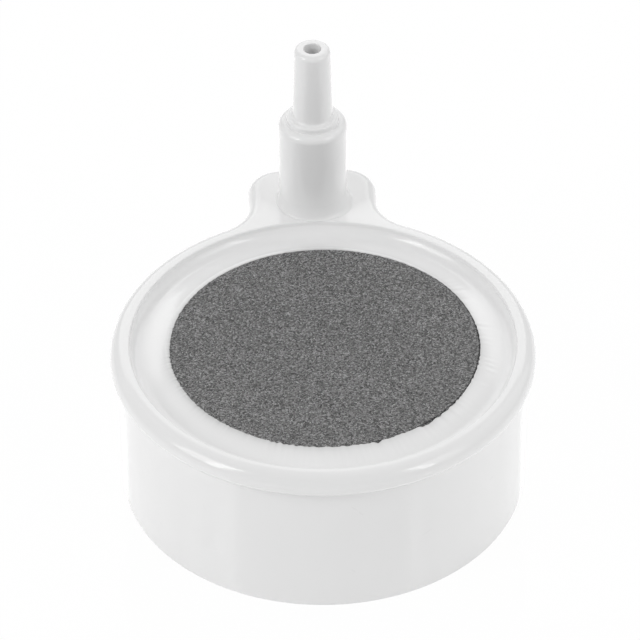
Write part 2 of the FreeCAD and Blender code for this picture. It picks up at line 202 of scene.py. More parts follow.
@dataclass
class Surface:
    """Vertices and faces of one closed piece, gathered patch by patch as whole arrays."""

    points: list[Array] = field(default_factory=list)
    quads: list[Array] = field(default_factory=list)
    triangles: list[Array] = field(default_factory=list)
    count: int = 0

    def add_points(self, points: Array) -> Array:
        """Add points.

        Args:
            points: an array of any arrangement by 3.

        Returns:
            The points' numbers, in the same arrangement.
        """
        flat = points.reshape(-1, 3)
        numbers = np.arange(self.count, self.count + len(flat)).reshape(points.shape[:-1])
        self.points.append(flat)
        self.count += len(flat)
        return numbers

    def add_quads(self, corners: Sequence[Array]) -> None:
        """Add one quad for each place in four equal arrays of point numbers."""
        self.quads.append(np.stack([corner.ravel() for corner in corners], axis=1))

    def add_tube(self, rows: Array, closed: bool = False) -> Array:
        """Join rows of points into a tube: each row is a ring, and closed joins the last row to the first.

        Args:
            rows: points in an array of rows by places round the ring by 3.
            closed: whether the rows run round to the first again.

        Returns:
            The point numbers, rows by places.
        """
        numbers = self.add_points(rows)
        below = numbers if closed else numbers[:-1]
        above = np.roll(numbers, -1, axis=0) if closed else numbers[1:]
        self.add_quads([below, np.roll(below, -1, axis=1), np.roll(above, -1, axis=1), above])
        return numbers

    def bridge(self, below: Array, above: Array) -> None:
        """Join two rings of point numbers, place by place."""
        self.add_quads([below, np.roll(below, -1), np.roll(above, -1), above])

    def close_ring(self, ring: Array, pole: Array, outward: bool) -> None:
        """Close a ring of point numbers with a fan to one point.

        Args:
            ring: the point numbers round the ring.
            pole: the fan's middle.
            outward: whether the ring is the tube's last row.
        """
        middle = self.add_points(pole.reshape(1, 3))[0]
        following = np.roll(ring, -1)
        middles = np.full(len(ring), middle)
        order = [ring, following, middles] if outward else [following, ring, middles]
        self.triangles.append(np.stack(order, axis=1))

    def build(self, name: str) -> bpy.types.Object:
        """Make the piece's object, in metres from millimetres, smooth, with its faces turned outwards.

        The faces point outwards if the sum over the triangles of a . (b x c) is positive. Otherwise all of
        them are turned round.

        Args:
            name: the piece's name.

        Returns:
            The object, at the origin.
        """
        points = np.vstack(self.points) * MM
        quads = np.vstack(self.quads) if self.quads else np.zeros((0, 4), int)
        fans = np.vstack(self.triangles) if self.triangles else np.zeros((0, 3), int)
        halves = np.vstack([quads[:, [0, 1, 2]], quads[:, [0, 2, 3]], fans])
        a, b, c = (points[halves[:, k]] for k in range(3))
        if np.einsum("ij,ij->i", a, np.cross(b, c)).sum() < 0.0:
            quads, fans = quads[:, ::-1], fans[:, ::-1]
        mesh = bpy.data.meshes.new(name)
        mesh.vertices.add(len(points))
        mesh.vertices.foreach_set("co", points.astype(np.float32).ravel())
        corners = np.concatenate([quads.ravel(), fans.ravel()]).astype(np.int32)
        sides = np.concatenate([np.full(len(quads), 4), np.full(len(fans), 3)])
        mesh.loops.add(len(corners))
        mesh.loops.foreach_set("vertex_index", corners)
        mesh.polygons.add(len(sides))
        starts = np.concatenate([[0], np.cumsum(sides)[:-1]]).astype(np.int32)
        mesh.polygons.foreach_set("loop_start", starts)
        mesh.update(calc_edges=True)
        mesh.validate()
        mesh.shade_smooth()
        return add_object(name, mesh)


def turned(path: Array, angle: Array, axis: tuple[float, float] = (0.0, 0.0)) -> Array:
    """Points of a path turned round a vertical axis: axis plus radius times (cos a, sin a), at the height.

    Args:
        path: (radius, height) of each row.
        angle: angles round the axis.
        axis: where the axis stands.

    Returns:
        Rows by angles by 3.
    """
    radius, height = path[:, 0, None], path[:, 1, None]
    across = np.broadcast_to(np.cos(angle), (len(path), len(angle)))
    along = np.broadcast_to(np.sin(angle), (len(path), len(angle)))
    level = np.broadcast_to(height, across.shape)
    return np.stack([axis[0] + radius * across, axis[1] + radius * along, level], axis=-1)


# --- Node work ---


@dataclass
class NodeBench:
    """A node tree with short ways to add nodes and join them."""

    tree: bpy.types.NodeTree

    def add(self, kind: str, **values: object) -> Node:
        """Add a node. Values name its properties, or its inputs where it has no such property.

        Args:
            kind: the node's type without "ShaderNode".
            values: what to set, or a socket to join; an underscore in an input's name is a space.

        Returns:
            The node.
        """
        node = self.tree.nodes.new(f"ShaderNode{kind}")
        for key, value in values.items():
            if hasattr(node, key):
                setattr(node, key, value)
            else:
                self.give(node, key.replace("_", " "), value)
        return node

    def join(self, source: Socket, node: Node, name: object) -> None:
        """Join a socket to a node's input, by its name or number."""
        self.tree.links.new(source, node.inputs[name])

    def give(self, node: Node, name: object, value: object) -> None:
        """Give a node's input a value: a socket is joined to it, and anything else is set.

        Args:
            node: the node.
            name: the input's name or number.
            value: the socket or the value.
        """
        if isinstance(value, Socket):
            self.join(value, node, name)
        else:
            node.inputs[name].default_value = value

    def math(self, operation: str, first: object, second: object, clamp: bool = False) -> Socket:
        """Add a Math node.

        Args:
            operation: what it does.
            first: its first socket or number.
            second: its second socket or number.
            clamp: whether the result is held to 0 to 1.

        Returns:
            The result's socket.
        """
        node = self.add("Math", operation=operation, use_clamp=clamp)
        self.give(node, 0, first)
        self.give(node, 1, second)
        return node.outputs[0]

    def mask(self, value: Socket, low: float, high: float, kind: str = "SMOOTHSTEP") -> Socket:
        """Turn a value into a mask, 0 up to low and 1 from high on.

        Args:
            value: the value's socket.
            low: where the mask starts to rise.
            high: where it is full.
            kind: the ramp between them, SMOOTHSTEP or LINEAR.

        Returns:
            The mask's socket.
        """
        node = self.add("MapRange", interpolation_type=kind, Value=value, From_Min=low, From_Max=high)
        return node.outputs[0]

    def ramp(self, source: Socket, stops: Sequence[tuple[float, float]]) -> Socket:
        """Add a grey colour ramp.

        Args:
            source: the socket that it reads.
            stops: the place and the grey of each stop.

        Returns:
            The colour's socket.
        """
        node = self.add("ValToRGB", Fac=source)
        while len(node.color_ramp.elements) < len(stops):
            node.color_ramp.elements.new(0.5)
        for element, (place, level) in zip(node.color_ramp.elements, stops):
            element.position = place
            element.color = grey(level)
        return node.outputs[0]


class Effect(Enum):
    """Surface effects that the finishes share. Each is a shader node group of this name."""

    MOULD_SKIN = "mould_skin"
    HAIRLINES = "hairlines"
    GRAIN = "grain"


def new_group(
    effect: Effect, inputs: dict[str, float], outputs: Sequence[str]
) -> tuple[NodeBench, Node, Node]:
    """An empty shader node group with float inputs and outputs.

    Args:
        effect: the effect that the group holds.
        inputs: each input's name and its usual value.
        outputs: each output's name.

    Returns:
        The group's bench, its input node and its output node.
    """
    tree = bpy.data.node_groups.new(effect.value, "ShaderNodeTree")
    for title, usual in inputs.items():
        socket = tree.interface.new_socket(title, in_out="INPUT", socket_type="NodeSocketFloat")
        socket.default_value = usual
    for title in outputs:
        tree.interface.new_socket(title, in_out="OUTPUT", socket_type="NodeSocketFloat")
    return NodeBench(tree), tree.nodes.new("NodeGroupInput"), tree.nodes.new("NodeGroupOutput")


def build_mould_skin() -> None:
    """The skin of a polished moulding.

    Height is fine noise for orange peel plus a tenth of slow noise for sink. Shade is 1 give or take a small
    share of slow noise, and Dull is a mask of soft patches where the polish is a little weaker.
    """
    usual = {"Peel size": 1.2, "Patch size": 9.0, "Shade spread": 0.02}
    bench, given, result = new_group(Effect.MOULD_SKIN, usual, ("Height", "Shade", "Dull"))
    place = bench.add("TexCoord").outputs["Object"]
    peel_scale = bench.math("DIVIDE", 1.0 / MM, given.outputs["Peel size"])
    peel = bench.add("TexNoise", Vector=place, Scale=peel_scale, Detail=2.0, Roughness=0.4)
    patch_scale = bench.math("DIVIDE", 1.0 / MM, given.outputs["Patch size"])
    patch = bench.add("TexNoise", Vector=place, Scale=patch_scale, Detail=3.0, Roughness=0.55)
    sink = bench.math("MULTIPLY", patch.outputs["Fac"], 0.1)
    bench.join(bench.math("ADD", peel.outputs["Fac"], sink), result, "Height")
    swing = bench.math("SUBTRACT", patch.outputs["Fac"], 0.5)
    swing = bench.math("MULTIPLY", swing, given.outputs["Shade spread"])
    bench.join(bench.math("ADD", swing, 1.0), result, "Shade")
    bench.join(bench.mask(patch.outputs["Fac"], 0.3, 0.75), result, "Dull")


def build_hairlines() -> None:
    """Sparse hairline scratches from handling.

    Two wave textures of thin lines, bent by noise and turned apart, are kept only where their crests are
    sharp and where a patchy noise is high, so that short separate strokes are left. Mask is 1 on a stroke.
    """
    bench, given, result = new_group(Effect.HAIRLINES, {"Spacing": 2.6, "Amount": 0.4}, ("Mask",))
    place = bench.add("TexCoord").outputs["Object"]
    density = bench.math("DIVIDE", 1.0 / MM, given.outputs["Spacing"])
    line_scale = bench.math("MULTIPLY", density, 0.16)
    patch_scale = bench.math("MULTIPLY", density, 1.3)
    strokes = []
    for turn, seed in ((0.5, 3.0), (2.1, 11.0)):
        mapping = bench.add("Mapping", Vector=place, Rotation=(turn, 0.7 * turn, 1.3 * turn))
        bent = {"Distortion": 9.0, "Detail": 1.0, "Detail_Scale": 0.35, "Phase_Offset": seed}
        lines = bench.add("TexWave", Vector=mapping.outputs[0], Scale=line_scale, **bent)
        crest = bench.mask(lines.outputs["Fac"], 0.9965, 1.0)
        patch = bench.add("TexNoise", noise_dimensions="4D", W=seed, Detail=1.0)
        bench.join(place, patch, "Vector")
        bench.join(patch_scale, patch, "Scale")
        kept = bench.mask(patch.outputs["Fac"], 0.66, 0.7, "LINEAR")
        strokes.append(bench.math("MULTIPLY", crest, kept))
    both = bench.math("MAXIMUM", strokes[0], strokes[1])
    bench.join(bench.math("MULTIPLY", both, given.outputs["Amount"], clamp=True), result, "Mask")


def build_grain() -> None:
    """Sharp grains bonded into a porous solid.

    Each cell of a Voronoi texture is a grain. Height is one minus the distance to the grain's middle, with
    smaller grains between. Tone is one random grey for each grain, mixed with the smaller grains' greys. The
    third output is a mask of the gaps between grains, where the distance is large, for painted shade there.
    """
    bench, given, result = new_group(Effect.GRAIN, {"Grain size": 0.2}, ("Height", "Tone", "Gap shade"))
    place = bench.add("TexCoord").outputs["Object"]
    density = bench.math("DIVIDE", 1.0 / MM, given.outputs["Grain size"])
    coarse = bench.add("TexVoronoi", Vector=place, Scale=density)
    fine = bench.add("TexVoronoi", Vector=place, Scale=bench.math("MULTIPLY", density, 2.1))
    tones, domes = [], []
    for cells, tone_share, dome_share in ((coarse, 0.62, 1.0), (fine, 0.38, 0.4)):
        split = bench.add("SeparateColor", Color=cells.outputs["Color"])
        tones.append(bench.math("MULTIPLY", split.outputs[0], tone_share))
        dome = bench.math("SUBTRACT", 1.0, cells.outputs["Distance"])
        domes.append(bench.math("MULTIPLY", dome, dome_share))
    bench.join(bench.math("ADD", *tones), result, "Tone")
    bench.join(bench.math("ADD", *domes), result, "Height")
    # Painted shade: the third output marks the gaps between grains, where the distance is large.
    bench.join(bench.mask(coarse.outputs["Distance"], 0.55, 0.85), result, "Gap shade")


def grey(level: float) -> tuple[float, float, float, float]:
    """A neutral colour."""
    return (level, level, level, 1.0)


def new_material(name: str, base: float, roughness: float) -> tuple[NodeBench, Node]:
    """A material with its Principled shader set to a grey and a roughness.

    Args:
        name: the material's name.
        base: the grey.
        roughness: the roughness.

    Returns:
        The bench of the material's node tree, and its Principled node.
    """
    material = bpy.data.materials.new(name)
    material.use_nodes = True
    shader = material.node_tree.nodes["Principled BSDF"]
    shader.inputs["Base Color"].default_value = grey(base)
    shader.inputs["Roughness"].default_value = roughness
    return NodeBench(material.node_tree), shader


def tint(bench: NodeBench, shader: Node, base: float, shade: Socket) -> None:
    """Give the shader a base colour of base times a shade that varies over the surface.

    Args:
        bench: the material's bench.
        shader: its Principled node.
        base: the grey.
        shade: the shade's socket.
    """
    level = bench.math("MULTIPLY", shade, base)
    mixed = bench.add("CombineColor", Red=level, Green=level, Blue=level)
    bench.join(mixed.outputs[0], shader, "Base Color")


def use_effect(bench: NodeBench, effect: Effect, **values: float) -> Node:
    """Place one of the shared node groups in a material.

    Args:
        bench: the material's bench.
        effect: which group.
        values: the group's inputs; an underscore stands for a space.

    Returns:
        The group's node.
    """
    node = bench.add("Group", node_tree=bpy.data.node_groups[effect.value])
    for key, value in values.items():
        bench.give(node, key.replace("_", " "), value)
    return node


def emboss(bench: NodeBench, shader: Node, height: Socket, depth: float, strength: float = 1.0) -> None:
    """Feed a height through a Bump node into the shader's normal.

    Args:
        bench: the material's bench.
        shader: its Principled node.
        height: the height's socket.
        depth: how deep a height of 1 is, in metres.
        strength: how much of the bump is used.
    """
    bump = bench.add("Bump", Strength=strength, Distance=depth, Height=height)
    bench.join(bump.outputs[0], shader, "Normal")


@dataclass(frozen=True)
class MouldedPlastic:
    """White moulded plastic: polished, with faint orange peel, dull patches and a few hairlines."""

    name: str
    base: float = 0.86
    gloss_low: float = 0.11
    gloss_high: float = 0.15
    peel_size: float = 2.4
    peel_depth: float = 0.0015 * MM
    hairlines: float = 0.35
    scratch_shade: float = 0.1
    scratch_cut: float = 1.5

    def make(self) -> bpy.types.Material:
        """Build the material.

        Returns:
            The material.
        """
        bench, shader = new_material(self.name, self.base, self.gloss_low)
        skin = use_effect(bench, Effect.MOULD_SKIN, Peel_size=self.peel_size)
        scratches = use_effect(bench, Effect.HAIRLINES, Amount=self.hairlines).outputs["Mask"]
        darker = bench.math("MULTIPLY", scratches, -self.scratch_shade)
        tint(bench, shader, self.base, bench.math("ADD", skin.outputs["Shade"], darker))
        dull = bench.math("MAXIMUM", skin.outputs["Dull"], scratches)
        spread = bench.math("MULTIPLY", dull, self.gloss_high - self.gloss_low)
        bench.join(bench.math("ADD", spread, self.gloss_low), shader, "Roughness")
        cut = bench.math("MULTIPLY", scratches, -self.scratch_cut)
        emboss(bench, shader, bench.math("ADD", skin.outputs["Height"], cut), self.peel_depth)
        return bpy.data.materials[self.name]


@dataclass(frozen=True)
class Sealant:
    """Cured white sealant: glossy, with slow ripples and a slightly uneven shade.

    Where the piece has the point attribute smear, its colour is painted darker by the attribute times the
    darkening depth.
    """

    name: str
    base: float = 0.86
    roughness: float = 0.12
    ripple_size: float = 3.5
    ripple_depth: float = 0.02 * MM
    patch_size: float = 5.0
    shade_spread: float = 0.03
    dull_spread: float = 0.03
    edge_darkening_depth: float = 0.0

    def make(self) -> bpy.types.Material:
        """Build the material.

        Returns:
            The material.
        """
        bench, shader = new_material(self.name, self.base, self.roughness)
        skin = use_effect(
            bench,
            Effect.MOULD_SKIN,
            Peel_size=self.ripple_size,
            Patch_size=self.patch_size,
            Shade_spread=self.shade_spread,
        )
        # The sealant's colour is painted darker along its edge at the stone, by the smear attribute.
        smear = bench.add("Attribute", attribute_name="smear").outputs["Fac"]
        edge_darkening = bench.math("MULTIPLY", smear, self.edge_darkening_depth)
        tint(bench, shader, self.base, bench.math("SUBTRACT", skin.outputs["Shade"], edge_darkening))
        spread = bench.math("MULTIPLY", skin.outputs["Dull"], self.dull_spread)
        bench.join(bench.math("ADD", spread, self.roughness), shader, "Roughness")
        emboss(bench, shader, skin.outputs["Height"], self.ripple_depth)
        return bpy.data.materials[self.name]


@dataclass(frozen=True)
class SinteredGrit:
    """Grey abrasive grit bonded into a porous stone: dark and light grains, painted shade in the gaps between
    them, and a few grains painted bright as glints.
    """

    name: str
    dark: float = 0.02
    light: float = 0.46
    roughness: float = 0.85
    grain_size: float = 0.16
    grain_depth: float = 0.16 * MM
    bump_strength: float = 0.8
    gap_shade_share: float = 0.8
    gap_shade_tone: float = 0.4
    polish: float = 0.35

    def make(self) -> bpy.types.Material:
        """Build the material.

        Returns:
            The material.
        """
        middle = (self.dark + self.light) / 2.0
        bench, shader = new_material(self.name, middle, self.roughness)
        grain = use_effect(bench, Effect.GRAIN, Grain_size=self.grain_size)
        # The top stop, above the light grey, paints a few grains bright as glints.
        stops = [(0.0, self.dark), (0.5, middle * 0.8), (0.85, self.light * 0.85), (1.0, self.light * 1.4)]
        tone = bench.ramp(grain.outputs["Tone"], stops)
        # Painted shade: in the gaps between grains the colour is multiplied towards a dark grey.
        gap_shade = bench.add("Mix", data_type="RGBA", blend_type="MULTIPLY")
        bench.join(bench.math("MULTIPLY", grain.outputs["Gap shade"], self.gap_shade_share), gap_shade, "Factor")
        bench.join(tone, gap_shade, 6)
        bench.give(gap_shade, 7, grey(self.gap_shade_tone))
        bench.join(gap_shade.outputs[2], shader, "Base Color")
        bench.give(shader, "Specular IOR Level", self.polish)
        emboss(bench, shader, grain.outputs["Height"], self.grain_depth, self.bump_strength)
        return bpy.data.materials[self.name]


def dress(piece: bpy.types.Object, material: bpy.types.Material, slot: str, *nodes: str) -> None:
    """Give a piece its material and its body, and let it stand for CAD nodes.

    Args:
        piece: the piece.
        material: its material.
        slot: not used.
        nodes: the CAD nodes that it replaces.
    """
    piece.data.materials.append(material)
    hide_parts(*nodes)
    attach(piece, "root")
    LOG.info("%s: %d points, %d faces", piece.name, len(piece.data.vertices), len(piece.data.polygons))


# --- The object's sub-assemblies, in millimetres ---


def box_mm(node: str) -> tuple[Array, Array]:
    """A CAD node's lowest and highest corners, in millimetres."""
    low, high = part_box(node)
    return np.array(low) / MM, np.array(high) / MM


@dataclass(frozen=True)
class Places:
    """Sizes and places that come from the frame."""

    rim_radius: float
    top: float
    tongue_back: float
    stone_radius: float
    stone_top: float
    stone_bottom: float
    nozzle_y: float
    nozzle_top: float
    gutter_floor: float
    pocket_radius: float

    @classmethod
    def read(cls) -> "Places":
        """Read them from the CAD nodes' boxes.

        Returns:
            The sizes and places, in millimetres.
        """
        housing_low, housing_high = box_mm("housing")
        stone_low, stone_high = box_mm("air_stone")
        nozzle_low, nozzle_high = box_mm("nozzle")
        seal_low, seal_high = box_mm("stone_seal")
        return cls(
            rim_radius=-float(housing_low[1]),
            top=float(housing_high[2]),
            tongue_back=float(housing_high[1]),
            stone_radius=float(stone_high[0]),
            stone_top=float(stone_high[2]),
            stone_bottom=float(stone_low[2]),
            nozzle_y=float((nozzle_low[1] + nozzle_high[1]) / 2.0),
            nozzle_top=float(nozzle_high[2]),
            gutter_floor=float(seal_low[2]),
            pocket_radius=float(seal_high[0]),
        )


@dataclass(frozen=True)
class Outline:
    """The shell's plan outline at the skirt: a circle with a tongue at +Y, and its outward normals."""

    radius: float
    half_width: float
    back: float
    corner: float = 2.9
    blend: float = 7.0
    round_steps: int = 210
    blend_steps: int = 34
    side_steps: int = 10
    corner_steps: int = 30
    back_steps: int = 12

    def sample(self) -> tuple[Array, Array]:
        """The outline anticlockwise from the front.

        The right half is an arc of the circle, the concave blend, the tongue's side, its corner and half its
        back. The left half is its mirror image. A parallel outline is points plus normals times a distance.

        Returns:
            Points and outward unit normals, places by 2.
        """
        blend_x = self.half_width + self.blend
        blend_y = math.sqrt((self.radius + self.blend) ** 2 - blend_x**2)
        bearing = math.degrees(math.atan2(blend_y, blend_x))
        corner = (self.half_width - self.corner, self.back - self.corner)
        ring = arc((0.0, 0.0), self.radius, -90.0, bearing, self.round_steps)
        hollow = arc((blend_x, blend_y), self.blend, 180.0 + bearing, 180.0, self.blend_steps)
        side = line((self.half_width, blend_y), (self.half_width, corner[1]), self.side_steps)
        bend = arc(corner, self.corner, 0.0, 90.0, self.corner_steps)
        rear = line((corner[0], self.back), (0.0, self.back), self.back_steps)
        points = np.vstack([ring[:-1], hollow[:-1], side[:-1], bend[:-1], rear])
        normals = np.vstack(
            [
                ring[:-1] / self.radius,
                (np.array([blend_x, blend_y]) - hollow[:-1]) / self.blend,
                np.tile([1.0, 0.0], (len(side) - 1, 1)),
                (bend[:-1] - np.asarray(corner)) / self.corner,
                np.tile([0.0, 1.0], (len(rear), 1)),
            ]
        )
        flip = np.array([-1.0, 1.0])
        points = np.vstack([points, points[-2:0:-1] * flip])
        normals = np.vstack([normals, normals[-2:0:-1] * flip])
        return points, normals

    def ring(self, offset: float, height: float) -> Array:
        """The outline moved outwards, at a height.

        Args:
            offset: how far outwards.
            height: the height.

        Returns:
            The points, one row each.
        """
        points, normals = self.sample()
        flat = points + normals * offset
        return np.column_stack([flat, np.full(len(flat), height)])

    def bearings(self) -> Array:
        """The outline points' bearings from the round part's middle."""
        points, _ = self.sample()
        return np.arctan2(points[:, 1], points[:, 0])


@dataclass
class Shell:
    """The moulded shell with its rim bead, deck, gutter and cup, and the plate glued into its underside."""

    places: Places
    bead_proud: float = 1.0
    bead_radius: float = 1.7
    bead_under_radius: float = 1.0
    bead_fillet: float = 0.1
    foot_round: float = 0.18
    rim_round: float = 0.16
    wall: float = 1.5
    lip: float = 1.0
    cover_thickness: float = 2.0
    bond_width: float = 0.7
    bond_sink: float = 0.15
    bond_depth: float = 0.5
    bond_tuck: float = 0.02
    bond_sag: float = 0.1
    bond_wander: Wander = Wander(0.04, 21, (3, 40), 0.6)
    seat_gap: float = 0.02
    cover_round: float = 0.12
    cover_edge_start: float = 0.4
    cover_step_gap: float = 0.1
    cup_gap: float = 0.3
    cup_wall: float = 1.4
    ledge_reach: float = 1.5
    ledge_thickness: float = 1.8
    web: float = 1.5
    tongue_half_width: float = 6.95

    def outline(self) -> Outline:
        """The outline at the skirt, one bead inside the frame's box."""
        places = self.places
        return Outline(
            radius=places.rim_radius - self.bead_proud,
            half_width=self.tongue_half_width,
            back=places.tongue_back - self.bead_proud,
        )

    def outer_profile(self) -> Array:
        """(offset, height) of the outside, from the cover's seat down round the foot and up to the deck.

        The bead is two arcs that meet where it is widest, and the lower one has the smaller radius. A small
        fillet joins it to the skirt: its middle lies one fillet radius out from the skirt, and the two radii
        apart from the lower arc's middle.

        Returns:
            The points, one row each.
        """
        fillet, under = self.bead_fillet, self.bead_under_radius
        middle = self.places.top - self.bead_radius
        inward = self.bead_proud - self.bead_radius
        under_inward = self.bead_proud - under
        across = fillet - under_inward
        reach = under + fillet
        fillet_height = middle - math.sqrt(reach**2 - across**2)
        lean = math.degrees(math.acos(across / reach))
        foot = rounded(
            [
                (-self.lip, self.cover_thickness, 0.0),
                (-self.lip, 0.0, 0.1),
                (0.0, 0.0, self.foot_round),
                (0.0, fillet_height, 0.0),
            ]
        )
        skirt = line((0.0, self.foot_round + 0.4), (0.0, fillet_height - 0.3), 14)
        joint = arc((fillet, fillet_height), fillet, 180.0, 180.0 - lean, 6)
        below = arc((under_inward, middle), under, -lean, 0.0, 18)
        above = arc((inward, middle), self.bead_radius, 0.0, 90.0, 24)
        return np.vstack([foot[:-1], skirt, joint, below[1:], above[1:]])

    def build_housing(self) -> bpy.types.Object:
        """The shell as one surface that closes on itself both ways.

        Outside, each row is the outline moved by an offset. Inside, each row is a circle at the same
        bearings. The deck and the cover's seat are ruled between the two, which carries the flat deck over
        the tongue.

        Returns:
            The housing shell.
        """
        places, outline = self.places, self.outline()
        bearings = outline.bearings()
        outside = np.stack([outline.ring(offset, height) for offset, height in self.outer_profile()])
        rim, top = self.rim_round, places.top
        pocket = places.pocket_radius
        cup = places.stone_radius + self.cup_gap
        ledge = places.stone_radius - self.ledge_reach
        inside_wall = places.rim_radius - self.bead_proud - self.wall
        ledge_bottom = places.stone_bottom - self.ledge_thickness
        web_bottom = places.gutter_floor - self.web
        edge = arc((pocket + rim, top - rim), rim, 90.0, 180.0, 8)
        path = np.vstack(
            [
                edge,
                line((pocket, top - rim - 0.1), (pocket, places.gutter_floor), 8),
                [
                    (cup, places.gutter_floor),
                    (cup, places.stone_bottom),
                    (ledge, places.stone_bottom),
                    (ledge, ledge_bottom),
                    (cup + self.cup_wall, ledge_bottom),
                    (cup + self.cup_wall, web_bottom),
                    (inside_wall, web_bottom),
                    (inside_wall, self.cover_thickness),
                ],
            ]
        )
        inside = turned(path, bearings)
        share = np.array([0.04, 0.2, 0.5, 0.8, 0.96])[:, None, None]
        deck = outside[-1] * (1.0 - share) + inside[0] * share
        surface = Surface()
        surface.add_tube(np.concatenate([outside, deck, inside]), closed=True)
        return surface.build("housing_shell")

    def plate(self, offset: float, path: Array, low: float, high: float, name: str) -> bpy.types.Object:
        """A flat plate inside the outline, closed top and bottom by shrinking its edge to the middle.

        Args:
            offset: how far the plate's edge lies from the skirt, inwards negative.
            path: (offset more, height) of the edge, from the underside up.
            low: the underside's height.
            high: the top's height.
            name: the piece's name.

        Returns:
            The plate.
        """
        outline = self.outline()
        edge = np.stack([outline.ring(offset + more, height) for more, height in path])
        foot, roof = np.array([0.0, 0.0, low]), np.array([0.0, 0.0, high])
        shares = np.array([0.02, 0.25, 0.5, 0.75])[:, None, None]
        under = (edge[0] * (1.0 - shares) + foot * shares)[::-1]
        above = edge[-1] * (1.0 - shares) + roof * shares
        surface = Surface()
        numbers = surface.add_tube(np.concatenate([under, edge, above]))
        surface.close_ring(numbers[0], foot, outward=False)
        surface.close_ring(numbers[-1], roof, outward=True)
        return surface.build(name)

    def build_cover(self) -> bpy.types.Object:
        """The base cover, with its edge rounded and stepped back above the bead of adhesive.

        Returns:
            The cover.
        """
        step = self.bond_width - self.cover_step_gap
        inset = -(self.lip + self.bond_width)
        top = self.cover_thickness - self.seat_gap
        start = (-self.cover_edge_start, 0.0, 0.0)
        edge = rounded([start, (0.0, 0.0, self.cover_round), (0.0, self.bond_depth, 0.0)])
        shelf = np.array([(step, self.bond_depth), (step, top), (0.0, top)])
        return self.plate(inset, np.vstack([edge, shelf]), 0.0, top, "base_cover_plate")

    def build_cover_bond(self) -> bpy.types.Object:
        """The bead of adhesive in the groove round the cover, with a slightly hollow, uneven face.

        Its face rises by the sag times sin(pi * share), with share from 0 at the lip to 1 at the cover, and
        by a random wave in the same way. It reaches under both walls by the tuck.

        Returns:
            The bead.
        """
        outline, tuck = self.outline(), self.bond_tuck
        uneven = self.bond_wander.at(outline.bearings())
        shares = np.linspace(0.0, 1.0, 9)
        insets = -self.lip + tuck - shares * (self.bond_width + 2.0 * tuck)
        face = np.stack([outline.ring(inset, self.bond_sink) for inset in insets])
        dip = np.sin(math.pi * shares)[:, None]
        face[..., 2] += self.bond_sag * dip + uneven * dip
        back = [outline.ring(inset, self.bond_depth - 0.01) for inset in insets[::-1]]
        surface = Surface()
        surface.add_tube(np.concatenate([face, np.stack(back)]), closed=True)
        return surface.build("cover_bond_bead")

    def make(self, plastic: Material, cover: Material, adhesive: Material) -> None:
        """Build and dress the shell, its cover and the bead between them.

        Args:
            plastic: the shell's material.
            cover: the cover's material.
            adhesive: the bead's material.
        """
        dress(self.build_housing(), plastic, "shell_plastic", "housing")
        dress(self.build_cover(), cover, "cover_plastic", "base_cover")
        dress(self.build_cover_bond(), adhesive, "adhesive", "cover_bond")


